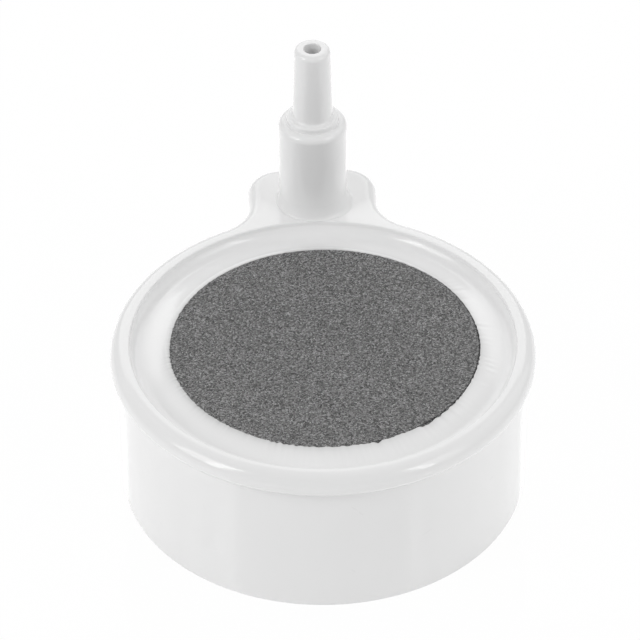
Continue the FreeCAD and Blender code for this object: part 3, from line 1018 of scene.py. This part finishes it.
@dataclass
class Stone:
    """The sintered disc and the sealant that holds it."""

    places: Places
    top_steps: int = 290
    flat_radius: float = 18.3
    edge_drop: float = 0.2
    grain_spacing: float = 0.3
    grain_height: float = 0.075
    lap_radius: float = 18.2
    lap_shift: tuple[float, float] = (0.22, -0.17)
    lap_height: float = 0.05
    edge_darkening_width: float = 0.38
    seal_floor: float = 18.55
    seal_wall_rise: float = 0.95
    seal_wall_reach: float = 0.42
    seal_turn: float = 21.5
    seal_curve: float = 1.5
    seal_steps: int = 1080
    seal_rows: int = 56
    seal_edge_shares: tuple[float, ...] = (0.008, 0.002, 0.0)
    seal_edge_zone: float = 0.06
    seal_wander: Wander = Wander(0.03, 41, (2, 9), 0.5)
    lap_wander: Wander = Wander(0.05, 31, (2, 14), 0.8)
    fine: Wander = Wander(0.03, 32, (60, 170), 0.2)
    fringe: Wander = Wander(0.05, 33, (60, 300), 0.0)
    fringe_bell: Bell = Bell(200.0, 42.0)
    teeth: Wander = Wander(0.24, 34, (14, 95), 0.3)
    teeth_bell: Bell = Bell(-62.0, 17.0)
    front: Wander = Wander(0.06, 35, (50, 200), 0.1)
    front_bell: Bell = Bell(-100.0, 30.0)
    edge_darkening_bell: Bell = Bell(205.0, 50.0)
    seal_crest_gap: float = 0.15
    seal_dip: float = 0.03
    seal_under_reach: float = 0.4
    seal_under_drop: float = 0.4
    seal_side_drop: float = 0.7
    seal_side_gap: float = 0.05
    clearance: float = 0.02
    hair: float = 0.01
    chip: float = 0.65

    def grains(self, spots: Array, seed: int) -> Array:
        """Heights of grit: each grain is a dome round one jittered point of a square net.

        The height is the highest over the nine nearest grains of size * (1 - (distance / reach) squared),
        with a random size and reach for each grain.

        Args:
            spots: (x, y) of the points.
            seed: seed of the net.

        Returns:
            0 to about 1 for each point.
        """
        rng = np.random.default_rng(seed)
        cells = int(2 * self.places.stone_radius / self.grain_spacing) + 6
        jitter = rng.uniform(0.0, 1.0, (cells, cells, 2))
        size = rng.uniform(0.25, 1.0, (cells, cells))
        reach = rng.uniform(0.75, 1.15, (cells, cells))
        scaled = spots / self.grain_spacing + cells / 2.0
        home = np.floor(scaled).astype(int)
        best = np.zeros(len(spots))
        for step_x in (-1, 0, 1):
            for step_y in (-1, 0, 1):
                cell_x = np.clip(home[:, 0] + step_x, 0, cells - 1)
                cell_y = np.clip(home[:, 1] + step_y, 0, cells - 1)
                middle = np.column_stack([cell_x, cell_y]) + jitter[cell_x, cell_y]
                away = np.linalg.norm(scaled - middle, axis=1) / reach[cell_x, cell_y]
                best = np.maximum(best, size[cell_x, cell_y] * (1.0 - away**2))
        return best

    def build_stone(self) -> bpy.types.Object:
        """The disc: a square net pressed into a circle for the grainy top, then rings down and under.

        The net's point (a, b) goes to radius a at the angle 45 degrees times b / a where a is the larger,
        and the same with a and b changed round where b is, so its squares stay nearly even.

        Returns:
            The disc.
        """
        places = self.places
        side = np.linspace(-1.0, 1.0, self.top_steps)
        a, b = np.meshgrid(side, side, indexing="ij")
        wide = np.abs(a) >= np.abs(b)
        with np.errstate(divide="ignore", invalid="ignore"):
            near = np.where(wide, b / a, a / b)
        near = np.nan_to_num(near)
        radius = np.where(wide, a, b) * self.flat_radius
        angle = np.where(wide, near * math.pi / 4.0, math.pi / 2.0 - near * math.pi / 4.0)
        x, y = radius * np.cos(angle), radius * np.sin(angle)
        spots = np.column_stack([x.ravel(), y.ravel()])
        bumps = self.grains(spots, 5) * 0.7 + self.grains(spots * 1.9 + 1.3, 8) * 0.3
        z = places.stone_top - self.grain_height + self.grain_height * bumps.reshape(x.shape)
        surface = Surface()
        numbers = surface.add_points(np.stack([x, y, z], axis=-1))
        surface.add_quads([numbers[:-1, :-1], numbers[1:, :-1], numbers[1:, 1:], numbers[:-1, 1:]])
        rim = np.concatenate([numbers[:-1, 0], numbers[-1, :-1], numbers[:0:-1, -1], numbers[0, :0:-1]])
        edge = np.vstack(surface.points)[rim]
        bearings = np.arctan2(edge[:, 1], edge[:, 0])
        outer, base = places.stone_radius - self.clearance, places.stone_bottom + self.hair
        path = np.array(
            [
                (outer, places.stone_top - self.edge_drop - self.grain_height),
                (outer, places.stone_bottom + self.chip),
                (outer - self.chip, base),
                (outer * 0.5, base),
            ]
        )
        rings = surface.add_tube(turned(path, bearings))
        surface.bridge(rim, rings[0])
        surface.close_ring(rings[-1], np.array([0.0, 0.0, base]), outward=True)
        return surface.build("air_stone_disc")

    def lap_line(self, angle: Array) -> Array:
        """Radius of the line that the sealant's inner edge follows.

        It is a circle off the stone's middle by the shift, which adds its part along each bearing, with slow
        waves.

        Args:
            angle: angles round the ring.

        Returns:
            The radius at each angle.
        """
        off = self.lap_shift[0] * np.cos(angle) + self.lap_shift[1] * np.sin(angle)
        return self.lap_radius + off + self.lap_wander.at(angle)

    def lap_edge(self, angle: Array) -> Array:
        """Radius of the sealant's inner edge: its line, with four kinds of fault.

        Fine waves run all round. At the left the edge is fringed by the grit, at the front it is rougher, and
        at the front right it is broken by teeth, where the wave is folded so that it cuts only outwards.

        Args:
            angle: angles round the ring.

        Returns:
            The radius at each angle.
        """
        fringe = self.fringe_bell.at(angle) * self.fringe.at(angle)
        teeth = self.teeth_bell.at(angle) * np.maximum(self.teeth.at(angle), 0.0)
        front = self.front_bell.at(angle) * self.front.at(angle)
        return self.lap_line(angle) + self.fine.at(angle) + fringe + teeth + front

    def build_seal(self) -> bpy.types.Object:
        """The sealant: a dished ring between the rim's wall and the stone.

        Its height is the floor plus a rise at the wall that falls off as exp(-distance / reach), plus a rise
        to the stone that grows as a power of s, where s runs from 0 at the turn to 1 at the lap's line or
        just outside the flat top, whichever is wider. The lap thins out just over the stone, follows it down
        where the edge lies past the flat top, and ends in the grit. The underside runs back under the stone's
        edge. The point attribute smear is 1 at the lap's edge and falls off as exp(-distance / width), most
        at
        the left: the sealant's colour is painted darker there.

        Returns:
            The seal.
        """
        places = self.places
        angle = np.linspace(0.0, TURN, self.seal_steps, endpoint=False)
        inner, lap = self.lap_edge(angle), self.lap_line(angle)
        outer = places.pocket_radius + self.clearance
        share = np.linspace(1.0, 0.0, self.seal_rows)[:, None]
        share = np.where(share > 0.5, 1.0 - 2.0 * (1.0 - share) ** 2, share)
        share = np.concatenate([share[:-1], np.array(self.seal_edge_shares)[:, None]])
        near_edge = np.clip(1.0 - share / self.seal_edge_zone, 0.0, 1.0)
        radius = lap + (outer - lap) * share + (inner - lap) * near_edge
        crest = np.maximum(lap, self.flat_radius + self.seal_crest_gap)
        rise = np.clip((self.seal_turn - radius) / (self.seal_turn - crest), 0.0, 1.0) ** self.seal_curve
        slope = (self.edge_drop + self.grain_height) / (places.stone_radius - self.flat_radius)
        lap_stone = places.stone_top - slope * np.maximum(inner - self.flat_radius, 0.0)
        lap_top = lap_stone + self.lap_height
        height = self.seal_floor + self.seal_wander.at(angle) * np.sin(math.pi * share)
        height = height + self.seal_wall_rise * np.exp(-(outer - radius) / self.seal_wall_reach)
        height = height + (lap_top - self.seal_floor) * rise
        height[-1] = lap_stone - self.grain_height - self.seal_dip
        top = np.stack([radius * np.cos(angle), radius * np.sin(angle), height], axis=-1)
        side, floor = places.stone_radius - self.seal_side_gap, places.gutter_floor + self.hair
        path = np.array(
            [
                (places.stone_radius - self.seal_under_reach, places.stone_top - self.seal_under_drop),
                (side, places.stone_top - self.seal_side_drop),
                (side, floor),
                (outer, floor),
            ]
        )
        # How much darker the sealant is painted along the lap's edge, most at the left.
        smear = np.exp(-(radius - inner) / self.edge_darkening_width) * (0.4 + 0.6 * self.edge_darkening_bell.at(angle))
        surface = Surface()
        surface.add_tube(np.concatenate([top, turned(path, angle)]), closed=True)
        piece = surface.build("stone_seal_ring")
        shown = np.zeros(len(piece.data.vertices), np.float32)
        shown[: smear.size] = smear.ravel()
        piece.data.attributes.new("smear", "FLOAT", "POINT").data.foreach_set("value", shown)
        return piece

    def make(self, grit: Material, sealant: Material) -> None:
        """Build and dress the stone and its seal.

        Args:
            grit: the stone's material.
            sealant: the seal's material.
        """
        dress(self.build_stone(), grit, "porous_stone", "air_stone")
        dress(self.build_seal(), sealant, "sealant", "stone_seal")


@dataclass
class HoseNozzle:
    """The two-stage hose nozzle and the adhesive round its foot."""

    places: Places
    stem_radius: float = 4.15
    stem_height: float = 12.0
    stem_round: float = 0.85
    collar_radius: float = 3.15
    collar_height: float = 0.8
    collar_round: float = 0.3
    tip_root_radius: float = 2.45
    tip_radius: float = 2.18
    tip_round: float = 0.6
    bore_radius: float = 1.04
    core_radius: float = 2.2
    core_height: float = 8.5
    core_taper: float = 1.2
    spigot_radius: float = 3.0
    spigot_depth: float = 1.8
    foot_round: float = 0.02
    bore_round: float = 0.12
    core_round: float = 0.3
    spigot_round: float = 0.1
    collar_foot_round: float = 0.1
    around: int = 220
    bond_width: float = 0.4
    bond_climb: float = 2.5
    bond_lip: float = 0.12
    bond_overlap: float = 0.02
    bond_spread: float = 0.45
    bond_thinning: float = 0.8
    bond_front_width: float = 0.44
    bond_front_ease: float = 10.0
    bond_lip_reach: float = 0.6
    bond_inside: float = 0.3
    bond_rows: int = 26
    bond_around: int = 420
    bond_foot: Wander = Wander(0.05, 51, (1, 7), 0.7)
    bond_top: Wander = Wander(0.35, 52, (1, 6), 0.6)
    bond_smear: Bell = Bell(-25.0, 38.0)

    def build_nozzle(self) -> bpy.types.Object:
        """The nozzle: its section, up the outside and down the bore, turned round its axis.

        Returns:
            The nozzle.
        """
        places = self.places
        base, tip = places.top, places.nozzle_top
        shoulder, collar_top = base + self.stem_height, base + self.stem_height + self.collar_height
        bottom = base - self.spigot_depth
        path = rounded(
            [
                (self.core_radius, bottom, 0.0),
                (self.spigot_radius, bottom, self.spigot_round),
                (self.spigot_radius, base, self.foot_round),
                (self.stem_radius, base, self.foot_round),
                (self.stem_radius, shoulder, self.stem_round),
                (self.collar_radius, shoulder, self.collar_foot_round),
                (self.collar_radius, collar_top, self.collar_round),
                (self.tip_root_radius, collar_top, self.collar_round),
                (self.tip_radius, tip, self.tip_round),
                (self.bore_radius, tip, self.bore_round),
                (self.bore_radius, base + self.core_height + self.core_taper, self.core_round),
                (self.core_radius, base + self.core_height, self.core_round),
                (self.core_radius, bottom, 0.0),
            ],
            steps=10,
        )
        angle = np.linspace(0.0, TURN, self.around, endpoint=False)
        surface = Surface()
        surface.add_tube(turned(path[:-1], angle, (0.0, places.nozzle_y)), closed=True)
        return surface.build("hose_nozzle")

    def build_bond(self) -> bpy.types.Object:
        """Adhesive at the nozzle's foot: a hollow fillet whose foot wanders and spreads on one side.

        With share from 0 at the stem to 1 at the foot, the radius is the stem's plus the foot's width times
        share squared, and the height goes from the climb down to the lip as (1 - share) to the power of 1.7.
        Towards the stone the width is held in, so that the foot stays on the deck. The foot ends in a small
        round lip, which is lower where the adhesive is smeared out.

        Returns:
            The fillet.
        """
        places, overlap = self.places, self.bond_overlap
        angle = np.linspace(0.0, TURN, self.bond_around, endpoint=False)
        smear = self.bond_smear.at(angle)
        width = self.bond_width + self.bond_foot.at(angle) + self.bond_spread * smear
        free = 1.0 - np.maximum(0.0, np.sin(-angle)) ** 8
        width = np.minimum(width, self.bond_front_width + self.bond_front_ease * free**2)
        climb = self.bond_climb + self.bond_top.at(angle)
        lip = self.bond_lip * (1.0 - self.bond_thinning * smear)
        share = np.linspace(0.0, 1.0, self.bond_rows)[:, None]
        radius = self.stem_radius - 0.01 + width * share**2.0
        height = places.top + lip + (climb - lip) * (1.0 - share) ** 1.7
        bend = np.radians(np.linspace(0.0, 90.0, 6)[1:])[:, None]
        lip_radius = self.stem_radius + width + lip * self.bond_lip_reach * np.sin(bend)
        lip_height = places.top - overlap + (lip + overlap) * np.cos(bend)
        inner = np.stack([np.full_like(angle, self.stem_radius - self.bond_inside)] * 2)
        inner_height = np.stack([np.full_like(angle, places.top - overlap), places.top + climb])
        radii = np.concatenate([radius, lip_radius, inner])
        heights = np.concatenate([height, lip_height, inner_height])
        rows = np.stack([radii * np.cos(angle), places.nozzle_y + radii * np.sin(angle), heights], axis=-1)
        surface = Surface()
        surface.add_tube(rows, closed=True)
        return surface.build("nozzle_bond_fillet")

    def make(self, plastic: Material, adhesive: Material) -> None:
        """Build and dress the nozzle and the adhesive round it.

        Args:
            plastic: the nozzle's material.
            adhesive: the adhesive's material.
        """
        dress(self.build_nozzle(), plastic, "nozzle_plastic", "nozzle")
        dress(self.build_bond(), adhesive, "adhesive", "nozzle_bond")


# --- Camera, light and floor ---


@dataclass(frozen=True)
class View:
    """Where the camera stands and what it looks at."""

    elevation: float = 39.169
    bearing: float = -2.4
    roll: float = -0.203
    distance: float = 475.07
    focal: float = 225.0
    aim_right: float = -0.370
    aim_up: float = 10.144
    aim_height: float = 9.984
    sensor: float = 36.0

    def make(self) -> None:
        """Set up the scene's camera.

        It looks along forward = (sin b cos e, cos b cos e, -sin e) at a point a little right of and above
        the middle of the round shell, from the given distance.
        """
        lift, swing, twist = (math.radians(v) for v in (self.elevation, self.bearing, self.roll))
        forward = np.array([0.0, math.cos(lift), -math.sin(lift)])
        up = np.array([0.0, math.sin(lift), math.cos(lift)])
        right = np.array([1.0, 0.0, 0.0])
        right, up = (
            math.cos(twist) * right + math.sin(twist) * up,
            -math.sin(twist) * right + math.cos(twist) * up,
        )
        turn = np.array(
            [
                [math.cos(swing), -math.sin(swing), 0.0],
                [math.sin(swing), math.cos(swing), 0.0],
                [0.0, 0.0, 1.0],
            ]
        )
        forward, up, right = turn @ forward, turn @ up, turn @ right
        aim = np.array([0.0, 0.0, self.aim_height]) + self.aim_right * right + self.aim_up * up
        place = (aim - forward * self.distance) * MM
        data = bpy.data.cameras.new("camera")
        data.lens = self.focal
        data.sensor_width = self.sensor
        data.clip_start, data.clip_end = 0.01, 20.0
        camera = add_object("camera", data)
        columns = np.column_stack([right, up, -forward])
        matrix = Matrix(columns.tolist()).to_4x4()
        matrix.translation = Vector(place.tolist())
        camera.matrix_world = matrix
        bpy.context.scene.camera = camera


@dataclass(frozen=True)
class Softbox:
    """A rectangular lamp that faces the object."""

    name: str
    bearing: float
    elevation: float
    width: float
    height: float
    radiance: float
    distance: float = 1.0
    aim_height: float = 0.015

    def make(self) -> None:
        """Hang the lamp and turn it to face the object.

        Bearing b is clockwise from +Y seen from above, and elevation e is up from the floor, both in
        degrees: from the point it aims at, the lamp stands off by distance times
        (sin b cos e, cos b cos e, sin e). A lamp of radiance L and area A gives pi * L * A watts.
        """
        data = bpy.data.lights.new(self.name, "AREA")
        data.shape = "RECTANGLE"
        data.size, data.size_y = self.width, self.height
        data.energy = math.pi * self.radiance * self.width * self.height
        lamp = add_object(self.name, data)
        swing, lift = math.radians(self.bearing), math.radians(self.elevation)
        aim = Vector((0.0, 0.0, self.aim_height))
        away = Vector((math.sin(swing) * math.cos(lift), math.cos(swing) * math.cos(lift), math.sin(lift)))
        lamp.location = aim + away * self.distance
        lamp.rotation_euler = (-away).to_track_quat("-Z", "Y").to_euler()


@dataclass(frozen=True)
class LightTable:
    """A plain glossy white table that glows evenly.

    Seen by the camera, most of its brightness is its own, so that it reads as white and keeps a faint
    shadow. From below it is clear.
    """

    half: float = 1.6
    tone: float = 0.9
    roughness: float = 0.04
    polish: float = 1.0
    whiteness: float = 0.97
    gloss_glow: float = 0.4
    soft_glow: float = 0.17

    def make(self) -> None:
        """Lay the table."""
        half = self.half
        mesh = bpy.data.meshes.new("table")
        corners = [(-half, -half, 0.0), (half, -half, 0.0), (half, half, 0.0), (-half, half, 0.0)]
        mesh.from_pydata(corners, [], [(0, 1, 2, 3)])
        add_object("table", mesh)
        bench, shader = new_material("white_acrylic", self.tone, self.roughness)
        bench.give(shader, "Specular IOR Level", self.polish)
        path = bench.add("LightPath")
        mirrored = bench.math("MULTIPLY", path.outputs["Is Glossy Ray"], self.gloss_glow)
        soft = bench.math("MULTIPLY", path.outputs["Is Diffuse Ray"], self.soft_glow)
        glow = bench.add("Emission", Color=grey(1.0))
        bench.join(bench.math("ADD", mirrored, soft), glow, "Strength")
        sheet = bench.add("AddShader")
        bench.join(shader.outputs[0], sheet, 0)
        bench.join(glow.outputs[0], sheet, 1)
        seen = bench.math("MAXIMUM", path.outputs["Is Camera Ray"], path.outputs["Is Transmission Ray"])
        white = bench.add("Emission", Color=grey(1.0), Strength=1.0)
        show = bench.add("MixShader")
        bench.join(bench.math("MULTIPLY", seen, self.whiteness), show, 0)
        bench.join(sheet.outputs[0], show, 1)
        bench.join(white.outputs[0], show, 2)
        clear = bench.add("BsdfTransparent")
        side = bench.add("MixShader")
        bench.join(bench.add("NewGeometry").outputs["Backfacing"], side, 0)
        bench.join(show.outputs[0], side, 1)
        bench.join(clear.outputs[0], side, 2)
        bench.join(side.outputs[0], bench.tree.nodes["Material Output"], "Surface")
        mesh.materials.append(bpy.data.materials["white_acrylic"])


@dataclass(frozen=True)
class Studio:
    """A white surround and soft lamps."""

    softboxes: tuple[Softbox, ...] = (
        Softbox("left_key", -122.0, 35.0, 0.16, 0.6, 5.75),
        Softbox("left_strip", -106.0, 35.0, 0.3, 0.6, 2.8),
        Softbox("left_panel", -72.0, 35.0, 0.9, 0.8, 0.33),
        Softbox("right_key", 129.0, 35.0, 0.13, 0.6, 4.6),
        Softbox("right_strip", 114.0, 35.0, 0.27, 0.7, 1.55),
        Softbox("right_panel", 77.0, 35.0, 1.0, 0.8, 0.73),
        Softbox("back", 0.0, 30.0, 1.0, 0.5, 1.37),
    )
    sky: float = 0.4
    sky_gloss: float = 0.78

    def make_sky(self) -> None:
        """The surroundings: even soft light, which shows as white where it is seen."""
        world = bpy.data.worlds.new("surround")
        bpy.context.scene.world = world
        world.use_nodes = True
        bench = NodeBench(world.node_tree)
        background = world.node_tree.nodes["Background"]
        background.inputs["Color"].default_value = grey(1.0)
        path = bench.add("LightPath")
        seen = bench.math("MAXIMUM", path.outputs["Is Camera Ray"], path.outputs["Is Transmission Ray"])
        extra = bench.math("MULTIPLY", seen, 1.0 - self.sky)
        gloss = bench.math("MULTIPLY", path.outputs["Is Glossy Ray"], self.sky_gloss - self.sky)
        total = bench.math("ADD", bench.math("ADD", extra, gloss), self.sky)
        bench.join(total, background, "Strength")

    def make(self) -> None:
        """Build the surroundings and the lamps."""
        bpy.context.scene.view_settings.view_transform = "Standard"
        self.make_sky()
        for softbox in self.softboxes:
            softbox.make()


# --- Everything together ---


def main() -> None:
    """Build the air stone round the CAD frame, and the studio round it."""
    logging.basicConfig(level=logging.INFO, format="%(name)s: %(message)s")
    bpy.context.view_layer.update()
    View().make()
    LightTable().make()
    Studio().make()
    build_mould_skin()
    build_hairlines()
    build_grain()
    shell_white = MouldedPlastic("shell_white").make()
    nozzle_white = MouldedPlastic("nozzle_white", gloss_low=0.14, gloss_high=0.2, peel_size=1.6).make()
    cover_white = MouldedPlastic("cover_white", base=0.84, gloss_low=0.3, gloss_high=0.42).make()
    sealant_white = Sealant("sealant_white", base=0.85, edge_darkening_depth=0.5).make()
    adhesive_white = Sealant("adhesive_white", base=0.84, roughness=0.16, ripple_size=0.9).make()
    grit = SinteredGrit("sintered_grit").make()

    places = Places.read()
    Shell(places).make(shell_white, cover_white, adhesive_white)
    Stone(places).make(grit, sealant_white)
    HoseNozzle(places).make(nozzle_white, adhesive_white)


if __name__ == "__main__":
    main()
